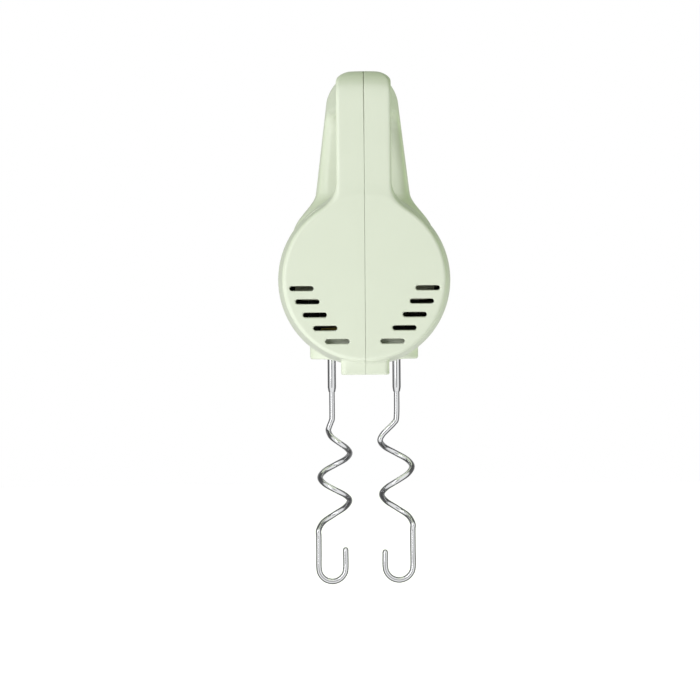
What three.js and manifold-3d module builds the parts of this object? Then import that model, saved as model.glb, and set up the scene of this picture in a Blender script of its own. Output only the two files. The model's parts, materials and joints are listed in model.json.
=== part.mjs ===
// Hand mixer with two dough hooks, as an assembly of its separate pieces.
// Millimetres. The origin is the centre of the round heel face that the mixer stands on when it is set down.
// +Y runs forwards along the motor barrel to the nose, +X is the user's right hand, +Z is up.
import * as THREE from "three";
import { mergeVertices } from "three/addons/utils/BufferGeometryUtils.js";
import Module from "manifold-3d";

const wasm = await Module();
wasm.setup();

// ---------------------------------------------------------------- driving dimensions

const LENGTH = 196; // heel face to nose
const BARREL_R = 48; // the barrel's widest radius
const HEEL_R = 44.4; // the barrel's radius at the heel, before its edge is rounded
const HEEL_EDGE = 2.2; // rounding of the heel's edge
const SWELL_Y = 60; // where the barrel is widest
const AXIS_RISE = 1.1; // how far the barrel's centre climbs between the heel and RISE_Y
const RISE_Y = 120;
const NOSE_POWER = 2.8; // how blunt the nose is
const WALL = 2.4; // casing wall
const PARTING_X = 0.2; // middle of the seam between the two casing halves
const SEAM = 0.3; // width of the seam

const TOP_REAR = 112.8; // height of the handle's top line over the heel face
const TOP_FRONT = 121.4; // and at TOP_END_Y
const TOP_END_Y = 160;
const TOP_TILT = Math.atan2(TOP_FRONT - TOP_REAR, TOP_END_Y);
const COLUMN_HALF = 14.9; // half width of the rear column and grip
const GRIP_FRONT_HALF = 20.6; // half width where the grip meets the front leg
const LEG_FLARE = 0.122; // how fast the front leg widens downwards

const HOOK_X = 19; // half the distance between the hooks
const HOOK_Y = 140;
const SOCKET_Z = -43.6; // underside of the gear housing, which the hooks leave
const MOTOR_Z = -2; // height of the motor's axis

const TEETH = 24; // on each spindle gear
const STARTS = 2; // threads on the worm
const WORM_R = 4.5; // pitch radii
const GEAR_R = HOOK_X - WORM_R;
const TOOTH_PITCH = (2 * Math.PI * GEAR_R) / TEETH;
const LEAD = STARTS * TOOTH_PITCH;
const ADDENDUM = 1;
const DEDENDUM = 1.25;

const SHAFT_R = 2.5;
const SLEEVE_R = 2.45; // the hook's thick upper shaft
const WIRE_R = 1.65; // the hook's wire
const SLIDER_V = 76; // the speed slider's place along the handle top, at 0
const TURBO_V = 110;
const PANEL_HALF = 8.5; // the control panel's half width
const PANEL_V = [64.5, 120.5]; // and its ends along the handle top

// ---------------------------------------------------------------- materials

const finish = (color, roughness, metalness = 0) =>
  new THREE.MeshStandardMaterial({ color, roughness, metalness });
const mint = finish(0xd3dfc2, 0.32);
const white = finish(0xeceee8, 0.4);
const grey = finish(0x8d918c, 0.5);
const nylon = finish(0xe9e6da, 0.55);
const blackPlastic = finish(0x1b1c1c, 0.5);
const steel = finish(0xb9bcbf, 0.35, 1);
const lamination = finish(0x6f7376, 0.5, 1);
const chrome = finish(0xe2e4e6, 0.08, 1);
const copper = finish(0xb66a3c, 0.35, 1);
const bronze = finish(0xb08a4e, 0.4, 1);
const carbon = finish(0x2a2a2b, 0.7);
const rubber = finish(0x2b2d2b, 0.8);
const board = finish(0x2f6b3f, 0.5);
const liveWire = finish(0x6b4630, 0.5);
const neutralWire = finish(0x3f66a8, 0.5);
const mustard = finish(0xc9b45a, 0.4);

// ---------------------------------------------------------------- solids

// A closed geometry as a solid, turned the right way out.
function solid(geometry) {
  const bare = geometry.clone();
  bare.deleteAttribute("normal");
  bare.deleteAttribute("uv");
  const merged = mergeVertices(bare, 1e-4);
  const build = (triVerts) =>
    new wasm.Manifold(
      new wasm.Mesh({
        numProp: 3,
        vertProperties: new Float32Array(merged.attributes.position.array),
        triVerts,
      }),
    );
  const faces = new Uint32Array(merged.index.array);
  const made = build(faces);
  return made.volume() > 0 ? made : build(faces.reverse());
}

function geometryOf(made) {
  const { numProp, vertProperties, triVerts } = made.getMesh();
  const positions = new Float32Array((vertProperties.length / numProp) * 3);
  for (let i = 0; i * numProp < vertProperties.length; i++) {
    positions.set(vertProperties.subarray(i * numProp, i * numProp + 3), i * 3);
  }
  const geometry = new THREE.BufferGeometry();
  geometry.setAttribute("position", new THREE.BufferAttribute(positions, 3));
  geometry.setIndex(new THREE.BufferAttribute(new Uint32Array(triVerts), 1));
  geometry.computeVertexNormals();
  return geometry;
}

const join = (...parts) => parts.reduce((a, b) => a.add(b));
const cut = (from, ...tools) => tools.reduce((a, b) => a.subtract(b), from);

// A box between two corners.
function block([x0, y0, z0], [x1, y1, z1]) {
  const geometry = new THREE.BoxGeometry(x1 - x0, y1 - y0, z1 - z0);
  return solid(geometry.translate((x0 + x1) / 2, (y0 + y1) / 2, (z0 + z1) / 2));
}

// A solid of revolution about Z through (x, y), from [radius, height] points.
function turned(profile, { x = 0, y = 0, sides = 20 } = {}) {
  const points = profile.map(([r, h]) => new THREE.Vector2(r, h));
  const geometry = new THREE.LatheGeometry(points, sides).rotateX(Math.PI / 2);
  return solid(geometry.translate(x, y, 0));
}

const rod = (r, z0, z1, place) =>
  turned([[0, z0], [r, z0], [r, z1], [0, z1]], place);

const tube = (inner, outer, z0, z1, place) =>
  turned([[inner, z0], [outer, z0], [outer, z1], [inner, z1], [inner, z0]], place);

// A rod along X through (y, z).
function crossRod(r, x0, x1, y, z, sides = 14) {
  const geometry = new THREE.CylinderGeometry(r, r, x1 - x0, sides);
  return solid(geometry.rotateZ(Math.PI / 2).translate((x0 + x1) / 2, y, z));
}

// A skin over rings of equal count, closed by a flat fan at both ends.
function loft(rings) {
  const count = rings[0].length;
  const positions = rings.flat().flatMap((p) => [p.x, p.y, p.z]);
  const faces = [];
  for (let k = 0; k + 1 < rings.length; k++) {
    for (let i = 0; i < count; i++) {
      const a = k * count + i;
      const b = k * count + ((i + 1) % count);
      faces.push(a, b, b + count, a, b + count, a + count);
    }
  }
  for (const [k, turn] of [[0, 1], [rings.length - 1, -1]]) {
    const middle = new THREE.Vector3();
    rings[k].forEach((p) => middle.addScaledVector(p, 1 / count));
    const hub = positions.push(middle.x, middle.y, middle.z) / 3 - 1;
    for (let i = 0; i < count; i++) {
      const ends = [k * count + i, k * count + ((i + 1) % count)];
      faces.push(hub, ...(turn > 0 ? ends.reverse() : ends));
    }
  }
  const geometry = new THREE.BufferGeometry();
  geometry.setAttribute("position", new THREE.Float32BufferAttribute(positions, 3));
  geometry.setIndex(faces);
  return solid(geometry);
}

// A round wire along a curve.
function wire(curve, r, steps, sides = 8) {
  const section = new THREE.Shape();
  for (let i = 0; i < sides; i++) {
    const a = (2 * Math.PI * i) / sides;
    const point = [r * Math.cos(a), r * Math.sin(a)];
    if (i) section.lineTo(...point);
    else section.moveTo(...point);
  }
  return solid(new THREE.ExtrudeGeometry(section, { steps, extrudePath: curve }));
}

const through = (points, tension = 0.5) =>
  new THREE.CatmullRomCurve3(
    points.map((p) => new THREE.Vector3(...p)), false, "catmullrom", tension,
  );

// A plan outline in X and Y, raised from z0 to z1 with rounded edges.
function raised(shape, z0, z1, edge, segments = 2) {
  const geometry = new THREE.ExtrudeGeometry(shape, {
    depth: z1 - z0 - 2 * edge,
    bevelEnabled: edge > 0,
    bevelThickness: edge,
    bevelSize: edge,
    bevelOffset: -edge,
    bevelSegments: segments,
    curveSegments: 4,
  });
  return solid(geometry.translate(0, 0, z0 + edge));
}

// A rectangle with round corners, centred on (x, y).
function roundedRectangle(halfX, halfY, corner, x = 0, y = 0) {
  const shape = new THREE.Shape();
  shape.moveTo(x - halfX + corner, y - halfY);
  shape.lineTo(x + halfX - corner, y - halfY);
  shape.absarc(x + halfX - corner, y - halfY + corner, corner, -Math.PI / 2, 0);
  shape.absarc(x + halfX - corner, y + halfY - corner, corner, 0, Math.PI / 2);
  shape.absarc(x - halfX + corner, y + halfY - corner, corner, Math.PI / 2, Math.PI);
  shape.absarc(x - halfX + corner, y - halfY + corner, corner, Math.PI, 1.5 * Math.PI);
  return shape;
}

// ---------------------------------------------------------------- casing

const clamp01 = (t) => Math.min(1, Math.max(0, t));
const smooth = (from, to, v) => {
  const t = clamp01((v - from) / (to - from));
  return t * t * (3 - 2 * t);
};

const barrelCentre = (y) => AXIS_RISE * (1 - (1 - Math.min(y, RISE_Y) / RISE_Y) ** 2);

function barrelRadius(y, inset) {
  if (y < SWELL_Y) return BARREL_R - inset - (BARREL_R - HEEL_R) * (1 - y / SWELL_Y) ** 2;
  const u = (y - SWELL_Y) / (LENGTH - inset - SWELL_Y);
  return (BARREL_R - inset) * Math.sqrt(Math.max(0, 1 - u ** NOSE_POWER));
}

// The motor barrel, or the hollow inside it when inset is the wall.
function barrel(inset) {
  const end = LENGTH - inset;
  const stations = [
    [inset, -HEEL_EDGE],
    [inset + 0.3 * HEEL_EDGE, -0.3 * HEEL_EDGE],
    [inset + HEEL_EDGE, 0],
    ...[20, 40, 62, 92, 114, 132, 148].map((y) => [y, 0]),
    ...[0.74, 0.84, 0.92, 0.97, 0.995].map((u) => [SWELL_Y + u * (end - SWELL_Y), 0]),
  ];
  const sides = inset ? 24 : 40;
  return loft(
    stations.map(([y, less]) => {
      const r = barrelRadius(y, inset) + less;
      return Array.from({ length: sides }, (_, i) => {
        const a = (2 * Math.PI * (i + 0.5)) / sides;
        return new THREE.Vector3(r * Math.sin(a), y, barrelCentre(y) + r * Math.cos(a));
      });
    }),
  );
}

// A convex outline with [y, z, radius] corners, moved inwards by inset.
function roundedOutline(corners, inset) {
  const edges = corners.map(([y, z], i) => {
    const [y1, z1] = corners[(i + 1) % corners.length];
    const length = Math.hypot(y1 - y, z1 - z);
    const along = [(y1 - y) / length, (z1 - z) / length];
    return { at: [y - along[1] * inset, z + along[0] * inset], along };
  });
  const points = [];
  corners.forEach(([, , radius], i) => {
    const before = edges[(i + corners.length - 1) % corners.length];
    const after = edges[i];
    const turn = before.along[0] * after.along[1] - before.along[1] * after.along[0];
    const gap = [after.at[0] - before.at[0], after.at[1] - before.at[1]];
    const reach = (gap[0] * after.along[1] - gap[1] * after.along[0]) / turn;
    const corner = before.at.map((v, k) => v + before.along[k] * reach);
    const r = radius - inset;
    const bend = Math.asin(Math.min(1, turn));
    const back = r * Math.tan(bend / 2);
    const start = corner.map((v, k) => v - before.along[k] * back);
    const centre = [start[0] - before.along[1] * r, start[1] + before.along[0] * r];
    const arcs = Math.max(1, Math.round((bend * Math.sqrt(r)) / 1.1));
    for (let k = 0; k <= arcs; k++) {
      const a = Math.atan2(start[1] - centre[1], start[0] - centre[0]) + (bend * k) / arcs;
      points.push([centre[0] + r * Math.cos(a), centre[1] + r * Math.sin(a)]);
    }
  });
  return points;
}

// Side view of the handle: its outside, sunk in the barrel, and the opening for the fingers.
const HANDLE_OUTSIDE = [
  [0, -20, 7],
  [172, -20, 7],
  [184, 30, 8],
  [TOP_END_Y, TOP_FRONT, 22],
  [0, TOP_REAR, 15],
];
const FINGER_OPENING = [
  [25, 43, 8],
  [118, 43, 8],
  [124, 97, 12],
  [27, 94.5, 10],
];

// Half the handle's width at a point of its side view. Its top is crowned, most of all over the front leg.
function handleHalf(y, z) {
  const leg = GRIP_FRONT_HALF + LEG_FLARE * Math.max(0, 110 - z) - 0.55 * Math.max(0, 38 - z);
  const front = 1 - 0.55 * smooth(TOP_END_Y - 8, LENGTH - 8, y);
  const side = COLUMN_HALF + (leg * front - COLUMN_HALF) * smooth(70, 140, y);
  const depth = TOP_REAR + y * Math.tan(TOP_TILT) - z;
  const forwards = smooth(80, 150, y);
  const crownDepth = 6 + 8 * forwards;
  const crown = (5 + 7 * forwards) * (1 - Math.min(1, Math.max(0, depth) / crownDepth)) ** 2;
  return side - crown;
}

function handle(inset) {
  const edge = 3.5;
  const reference = GRIP_FRONT_HALF;
  const shape = new THREE.Shape(
    roundedOutline(HANDLE_OUTSIDE, inset).map((p) => new THREE.Vector2(...p)),
  );
  const opening = roundedOutline(FINGER_OPENING, -inset).map((p) => new THREE.Vector2(...p));
  shape.holes.push(new THREE.Path(opening.reverse()));
  const depth = 2 * (reference - edge);
  const geometry = new THREE.ExtrudeGeometry(shape, {
    depth,
    bevelThickness: edge,
    bevelSize: edge,
    bevelOffset: -edge,
    bevelSegments: 2,
  });
  return solid(geometry.translate(0, 0, -depth / 2))
    .refineToLength(inset ? 20 : 12)
    .warp((at) => {
      const [y, z, across] = at;
      at[0] = (across * (handleHalf(y, z) - inset)) / reference;
      at[1] = y;
      at[2] = z;
    });
}

// The spreading foot of the front leg, where it runs out over the barrel.
function legSkirt() {
  const sides = 32;
  const square = (v) => Math.sign(v) * Math.sqrt(Math.abs(v));
  return loft(
    [74, 66, 59, 53, 48, 43, 38, 30, 16].map((z) => {
      const grow = 0.005 * (Math.max(z, 38) - 76) ** 2 - 0.6;
      const back = 118 + (6 * (z - 43)) / 54 - 0.8 * grow;
      const front = 184 - (24 * (Math.max(z, 30) - 30)) / 91 - 1;
      return Array.from({ length: sides }, (_, i) => {
        const a = (2 * Math.PI * (i + 0.5)) / sides;
        const y = (front + back) / 2 + ((front - back) / 2) * square(Math.cos(a));
        const half = handleHalf(y, z) + grow * smooth(182, 130, y);
        return new THREE.Vector3(half * square(Math.sin(a)), y, z);
      });
    }),
  );
}

// The shoulders of the keyhole-shaped heel face, between its column and its round part.
function heelShoulders() {
  const shape = new THREE.Shape();
  const top = COLUMN_HALF - 0.4;
  shape.moveTo(top, 55);
  shape.quadraticCurveTo(COLUMN_HALF, 42.5, 25.2, 36.6);
  shape.quadraticCurveTo(33.5, 30.5, 38.5, 21);
  shape.lineTo(-38.5, 21);
  shape.quadraticCurveTo(-33.5, 30.5, -25.2, 36.6);
  shape.quadraticCurveTo(-COLUMN_HALF, 42.5, -top, 55);
  const geometry = new THREE.ExtrudeGeometry(shape, {
    depth: 24 - HEEL_EDGE,
    bevelThickness: HEEL_EDGE,
    bevelSize: HEEL_EDGE,
    bevelOffset: -HEEL_EDGE,
    bevelSegments: 1,
    curveSegments: 5,
  });
  geometry.translate(0, 0, -24).rotateX(Math.PI / 2);
  return solid(geometry);
}

// The gear housing under the nose, which holds the two hook sockets.
const HOUSING_HALF = 31.4;
const HOUSING_Y = [112, 170];
function gearHousing(inset) {
  const middle = (HOUSING_Y[0] + HOUSING_Y[1]) / 2;
  const shape = roundedRectangle(
    HOUSING_HALF - inset, (HOUSING_Y[1] - HOUSING_Y[0]) / 2 - inset, 12 - inset, 0, middle,
  );
  return raised(shape, SOCKET_Z + inset, -8, 1.4);
}

// The foot under the heel, which the mains cord enters.
const FOOT_Z = -51.8;
const FOOT_Y = [4, 28];
const INLET_Y = 16;
function foot(inset) {
  const middle = (FOOT_Y[0] + FOOT_Y[1]) / 2;
  const shape = roundedRectangle(
    13.1 - inset, (FOOT_Y[1] - FOOT_Y[0]) / 2 - inset, 3 - inset * 0.8, 0, middle,
  );
  return raised(shape, FOOT_Z + inset, -34, 0.9, 1);
}

// Ten cooling slots through the heel face, five on each side.
const SLOT_HALF = 6.45;
const SLOT_R = 1.27;
const SLOT_X = [34.1, 30.9, 27, 21.4, 14.9];
const slotZ = (i) => -4.9 - 7.18 * i;

// Pieces of the handle's top lie in this frame: x across, y forwards along the top line, z out of it.
const topFrame = new THREE.Matrix4()
  .makeTranslation(0, 0, TOP_REAR)
  .multiply(new THREE.Matrix4().makeRotationX(TOP_TILT));
const onTop = (part) => part.transform(topFrame.elements.slice());

const SCREWS = [
  [17, 36],
  [34, -38],
  [104, -36],
  [176, -4],
  [157, 84],
  [50, 105],
]; // y, z of the casing screws
const SCREW_HEAD_X = -10.3;

function casing() {
  const outside = join(
    barrel(0), handle(0), legSkirt(), heelShoulders(), gearHousing(0), foot(0),
  );
  const inside = join(barrel(WALL), handle(WALL), gearHousing(WALL), foot(WALL)).simplify(0.1);
  const ribs = [
    ...SCREWS.map(([y, z]) => crossRod(4, -60, 60, y, z)),
    ...[-HOOK_X, HOOK_X].map((x) =>
      rod(11, SOCKET_Z + 1, -31, { x, y: HOOK_Y }),
    ),
    ...[50, 88].map((y) => block([-60, y, -60], [60, y + 2, 46])),
    ...[-22, 8].map((x) => block([x, 6, -60], [x + 14, 8, -29])),
    block([-30, 131, 93.3], [30, 149, 95.3]),
  ].map((rib) => rib.intersect(outside));
  const stator = raised(roundedRectangle(31.6, 28.6, 9, 0, 0), 40, 120, 0);
  const statorSpace = stator.rotate([-90, 0, 0]).translate([0, 0, MOTOR_Z]);
  const hollow = cut(inside, ...ribs);
  return cut(
    cut(outside, hollow, statorSpace),
    ...[-1, 1].flatMap((side) =>
      SLOT_X.map((x, i) =>
        raised(roundedRectangle(SLOT_HALF, SLOT_R, SLOT_R - 0.01, side * x, -slotZ(i)), -1, 4, 0)
          .rotate([-90, 0, 0]),
      ),
    ),
    ...[-HOOK_X, HOOK_X].flatMap((x) => [
      rod(7, SOCKET_Z - 1, -30, { x, y: HOOK_Y }),
      rod(8.9, -38.4, -30, { x, y: HOOK_Y }),
    ]),
    ...SCREWS.flatMap(([y, z]) => [
      crossRod(3.4, -60, SCREW_HEAD_X + 0.3, y, z),
      crossRod(1.8, -60, 11, y, z, 10),
    ]),
    ...[0, 1, 2].map((i) => block([-16, 92 + 6 * i, -60], [16, 95 + 6 * i, -30])),
    rod(5.3, -60, -30, { y: INLET_Y }),
    block([-8.3, HOOK_Y - 6.3, 100], [8.3, HOOK_Y + 6.3, 130]),
    block([-2.6, HOOK_Y - 2.6, 90], [2.6, HOOK_Y + 2.6, 100]),
    onTop(block([-PANEL_HALF - 0.3, PANEL_V[0] - 0.3, -1.2], [PANEL_HALF + 0.3, PANEL_V[1] + 0.3, 5])),
    onTop(block([-2.6, SLIDER_V - 3.3, -5], [2.6, SLIDER_V + 23.3, 5])),
    onTop(rod(5.6, -5, 5, { y: TURBO_V })),
  );
}

// ---------------------------------------------------------------- building the assembly

const mixer = new THREE.Group();

function add(name, material, made, { to = mixer, at = [0, 0, 0] } = {}) {
  const mesh = new THREE.Mesh(geometryOf(made), material);
  mesh.name = name;
  mesh.position.set(...at);
  to.add(mesh);
}

function group(at, to = mixer) {
  const made = new THREE.Group();
  made.position.set(...at);
  to.add(made);
  return made;
}

const SIDES = [["left", -1], ["right", 1]];

function addCasing() {
  const whole = casing();
  const far = 200;
  const leftSide = block([-far, -far, -far], [PARTING_X - SEAM / 2, 2 * far, far]);
  const rightSide = block([PARTING_X + SEAM / 2, -far, -far], [far, 2 * far, far]);
  add("casing_left", mint, whole.intersect(leftSide).simplify(0.1));
  add("casing_right", mint, whole.intersect(rightSide).simplify(0.1));
  const screw = join(crossRod(3, -2.5, 0, 0, 0), crossRod(1.5, -0.5, 20, 0, 0, 10));
  SCREWS.forEach(([y, z], i) => {
    add(`casing_screw_${i + 1}`, steel, screw, { at: [SCREW_HEAD_X, y, z] });
  });
  const grommet = turned(
    [[3.2, 0], [5, 0], [5, 2.8], [7, 2.8], [7, 4.6], [4.4, 7.5], [3.2, 7.5], [3.2, 0]],
    { sides: 16 },
  );
  add("cord_inlet_grommet", rubber, grommet, { at: [0, INLET_Y, FOOT_Z + 0.1] });
}

function addControls() {
  const top = group([0, 0, TOP_REAR]);
  top.rotation.x = TOP_TILT;
  const [rear, front] = PANEL_V;
  const panel = cut(
    raised(roundedRectangle(PANEL_HALF, (front - rear) / 2, 4, 0, (front + rear) / 2), -0.9, 0, 0),
    block([-2.6, SLIDER_V - 3.3, -2], [2.6, SLIDER_V + 23.3, 2]),
    rod(5.6, -2, 2, { y: TURBO_V }),
  );
  add("control_panel", white, panel, { to: top });

  const ridges = [-4.5, -1.5, 1.5, 4.5].map((y) =>
    block([-5, y - 0.5, 1.2], [5, y + 0.5, 2.2]),
  );
  const knob = join(
    raised(roundedRectangle(6.5, 7, 3), 0.3, 1.7, 0.5, 1),
    ...ridges,
    block([-2, -3, -8], [2, 3, 1]),
  );
  add("speed_slider", grey, knob, { to: top, at: [0, SLIDER_V, 0] });
  const bridge = block([-5, -4, -10.5], [5, 4, -8.3]);
  add("slider_contact", bronze, bridge, { to: top, at: [0, SLIDER_V, 0] });
  const switchBody = join(
    block([-8, 67, -15.6], [8, 102, -11]),
    ...[72, 80, 88, 96].map((y) => block([6, y - 1, -14.5], [9.2, y + 1, -12.8])),
  );
  add("speed_switch", blackPlastic, switchBody, { to: top });

  const turbo = turned(
    [[0, -6], [4.6, -6], [4.6, -4], [6.5, -4], [6.5, -2.8], [5.3, -2.8], [5.3, 1], [4.6, 1.7], [0, 1.9]],
  );
  add("turbo_button", grey, turbo, { to: top, at: [0, TURBO_V, 0] });
  add("turbo_spring", steel, coil(3, 0.4, -10.2, -6.7, 3), { to: top, at: [0, TURBO_V, 0] });
  add("turbo_switch", blackPlastic, block([-5, TURBO_V - 6, -15.4], [5, TURBO_V + 6, -10.8]), { to: top });
}

// A compression spring about Z.
function coil(r, wireR, z0, z1, turns, stepsPerTurn = 8) {
  class Helix extends THREE.Curve {
    getPoint(t, target = new THREE.Vector3()) {
      const a = 2 * Math.PI * turns * t;
      return target.set(r * Math.cos(a), r * Math.sin(a), z0 + (z1 - z0) * t);
    }
  }
  return wire(new Helix(), wireR, turns * stepsPerTurn, 4);
}

function addEjector() {
  const eject = group([0, HOOK_Y, 0]);
  const button = join(
    raised(roundedRectangle(8, 6, 2.5), 110, 124.4, 1.2),
    raised(roundedRectangle(9.6, 7.4, 3), 115, 116.8, 0),
  );
  add("eject_button", mint, button.simplify(0.05), { to: eject });
  const yoke = join(
    block([-2, -2, 22], [2, 2, 109.6]),
    block([-22, -3, 20], [22, 3, 24]),
    ...SIDES.map(([, side]) => rod(2, 2.6, 21, { x: side * HOOK_X, sides: 12 })),
  );
  add("eject_yoke", nylon, yoke, { to: eject });
  add("eject_spring", steel, coil(4.6, 0.5, 96.2, 109.2, 5), { to: eject });
}

// Motor and worm. Local Z is the motor's axis, pointing forwards, so a height here is a world Y.
function addMotor() {
  const motor = group([0, 0, MOTOR_Z]);
  motor.rotation.x = -Math.PI / 2;

  add("armature_shaft", steel, rod(SHAFT_R, 19, 166, { sides: 16 }), { to: motor });
  const core = Array.from({ length: 12 }, (_, i) => {
    const a = (2 * Math.PI * i) / 12;
    return block([10, -0.8, 50], [16, 0.8, 90]).rotate([0, 0, (a * 180) / Math.PI]);
  });
  add("armature_core", lamination, cut(tube(2.8, 14.7, 56, 84, { sides: 36 }), ...core), {
    to: motor,
  });
  const windingRear = [[2.8, 46.4], [9, 46.4], [13, 49], [13, 54], [11, 55.7], [2.8, 55.7], [2.8, 46.4]];
  const windingFront = windingRear.map(([r, h]) => [r, 140 - h]);
  add("armature_winding_rear", copper, turned(windingRear), { to: motor });
  add("armature_winding_front", copper, turned(windingFront), { to: motor });
  const segments = Array.from({ length: 12 }, (_, i) =>
    block([9.4, -0.3, 30], [11, 0.3, 43]).rotate([0, 0, 30 * i]),
  );
  const commutator = cut(
    turned([[2.8, 31], [10.5, 31], [10.5, 43], [12, 43], [12, 46], [2.8, 46], [2.8, 31]], { sides: 24 }),
    ...segments,
  );
  add("commutator", copper, commutator, { to: motor });

  const blades = Array.from({ length: 9 }, (_, i) =>
    block([5, -0.8, 99], [24, 0.8, 107]).rotate([0, 0, 40 * i]),
  );
  const fan = cut(
    join(rod(24, 97.4, 99.2, { sides: 27 }), rod(6.5, 97.4, 107, { sides: 18 }), ...blades),
    rod(2.8, 90, 110, { sides: 16 }),
  );
  add("cooling_fan", nylon, fan, { to: motor });
  add("worm", steel, worm(18), { to: motor, at: [0, 0, HOOK_Y] });

  const pole = join(
    block([-8.5, 15, 56], [8.5, 26, 84]),
    cut(tube(15.3, 17.8, 56, 84, { sides: 36 }), block([-30, -30, 50], [30, 7.6, 90])),
  );
  const stator = join(
    cut(
      raised(roundedRectangle(31, 28, 8), 56, 84, 0),
      raised(roundedRectangle(25.5, 23.4, 4), 50, 90, 0),
      ...SIDES.map(([, side]) => rod(1.7, 50, 90, { x: side * 28.2, sides: 8 })),
    ),
    pole,
    pole.rotate([0, 0, 180]),
  );
  add("stator_core", lamination, stator, { to: motor });
  const winding = cut(
    raised(roundedRectangle(21, 23.3, 8, 0, 70), 18.7, 23, 1, 1),
    raised(roundedRectangle(8.9, 14.4, 0.5, 0, 70), 10, 30, 0),
  ).rotate([90, 0, 0]);
  add("field_coil_upper", copper, winding, { to: motor });
  add("field_coil_lower", copper, winding.mirror([0, 1, 0]), { to: motor });

  const bush = tube(2.8, 5, 0, 6, { sides: 16 });
  for (const [name, y] of [["rear", 20.5], ["front", 111], ["end", 159.5]]) {
    add(`${name}_bearing`, bronze, bush, { to: motor, at: [0, 0, y] });
  }
  const bracket = cut(
    join(
      raised(roundedRectangle(38, 9, 5), 21.5, 25.5, 0),
      rod(8, 20, 27, { sides: 18 }),
    ),
    rod(5.3, 10, 30, { sides: 16 }),
  );
  add("rear_bearing_bracket", nylon, bracket, { to: motor });

  for (const [name, side] of SIDES) {
    const brushGear = group([0, 0, 37.5], motor);
    brushGear.rotation.z = side > 0 ? 0 : Math.PI;
    const holder = cut(
      join(
        block([12.6, -4.6, -4.6], [35, 4.6, 4.6]),
        block([22, -3, -11.6], [31, 3, -4]),
      ),
      block([10, -3.3, -2.8], [33, 3.3, 2.8]),
    );
    add(`brush_holder_${name}`, bronze, holder, { to: brushGear });
    add(`carbon_brush_${name}`, carbon, block([10.9, -3, -2.5], [24, 3, 2.5]), { to: brushGear });
    const spring = coil(1.9, 0.3, 24.4, 32.6, 4, 8).rotate([0, 90, 0]);
    add(`brush_spring_${name}`, steel, spring, { to: brushGear });
  }
}

// A screw thread with STARTS threads about Z, centred on the origin, with a bore for the shaft.
function worm(length) {
  const crest = WORM_R + ADDENDUM;
  const root = WORM_R - DEDENDUM;
  const flank = [[-1, root], [-0.35, crest], [0.35, crest], [1, root], [1.6, root], [2.2, root]];
  const slices = Math.round((length / LEAD) * 12);
  const rings = Array.from({ length: slices + 1 }, (_, k) => {
    const h = length * (k / slices - 0.5);
    return Array.from({ length: STARTS }, (_, start) =>
      flank.map(([along, r]) => {
        const a = (2 * Math.PI * (along + h)) / LEAD + (2 * Math.PI * start) / STARTS;
        return new THREE.Vector3(r * Math.cos(a), r * Math.sin(a), h);
      }),
    ).flat();
  });
  return cut(loft(rings), rod(2.8, -length, length, { sides: 16 }));
}

// A spindle gear about Z: helical teeth round its middle, on a long hub that grips a hook's sleeve.
function spindleGear() {
  const twist = LEAD / (2 * Math.PI * WORM_R * GEAR_R); // radians of twist for each millimetre
  const step = (2 * Math.PI) / TEETH;
  const tip = GEAR_R + ADDENDUM;
  const root = GEAR_R - DEDENDUM;
  const tooth = [[-1.15, root], [-0.45, tip], [0.45, tip], [1.15, root]];
  const rings = [-4.5, 4.5].map((h) =>
    Array.from({ length: TEETH }, (_, k) =>
      tooth.map(([along, r]) => {
        const a = (k + 0.5) * step + along / GEAR_R + twist * h;
        return new THREE.Vector3(r * Math.cos(a), r * Math.sin(a), h);
      }),
    ).flat(),
  );
  return cut(
    join(loft(rings), rod(6, -39, 11, { sides: 18 })),
    rod(SLEEVE_R + 0.35, -50, 20, { sides: 16 }),
    block([-4.4, -1, -50], [4.4, 1, -22]),
    tube(8, 11.5, 2.5, 6, { sides: 24 }),
    tube(8, 11.5, -6, -2.5, { sides: 24 }),
  );
}

// ---------------------------------------------------------------- dough hooks

// Where each hook's wire reaches furthest sideways on its way down, as [x, z] from the hook's axis.
const LEFT_TURNS = [[0, -77.5], [-2.2, -85.8], [10.2, -99], [-7.3, -113], [9.9, -126.6], [-8.3, -143.8]];
const RIGHT_TURNS = [[-0.2, -77.6], [-9.9, -91.7], [8.7, -106.8], [-9.15, -123.1], [8.9, -140.3]];
const TURN_R = 8.5; // how far the wire swings forwards and back between them

// The wire of a hook: half turns that swing to alternate sides, a straight leg, a half circle and the upturned end.
function hookCurve(turns, firstSwing, endX, bottomZ, tipZ) {
  const points = [[0, 0, -30], [0, 0, -62]];
  for (let i = 0; i + 1 < turns.length; i++) {
    const [[x0, z0], [x1, z1]] = [turns[i], turns[i + 1]];
    const swing = i ? TURN_R * firstSwing * (-1) ** (i + 1) : 0;
    for (let k = 0; k < 4; k++) {
      const a = (Math.PI * k) / 4;
      points.push([
        (x0 + x1) / 2 + ((x0 - x1) / 2) * Math.cos(a), swing * Math.sin(a), z0 + ((z1 - z0) * k) / 4,
      ]);
    }
  }
  const [legX, legZ] = turns.at(-1);
  const r = Math.abs(endX - legX) / 2;
  const middle = (legX + endX) / 2;
  points.push([legX, 0, legZ], [legX, 0, legZ - 4], [legX, 0, (legZ + bottomZ + r) / 2 - 2]);
  for (let i = 0; i < 7; i++) {
    const a = (Math.PI * i) / 6;
    points.push([middle + Math.sign(legX) * r * Math.cos(a), 0, bottomZ + r - r * Math.sin(a)]);
  }
  return through([...points, [endX, 0, tipZ]]);
}

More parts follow.
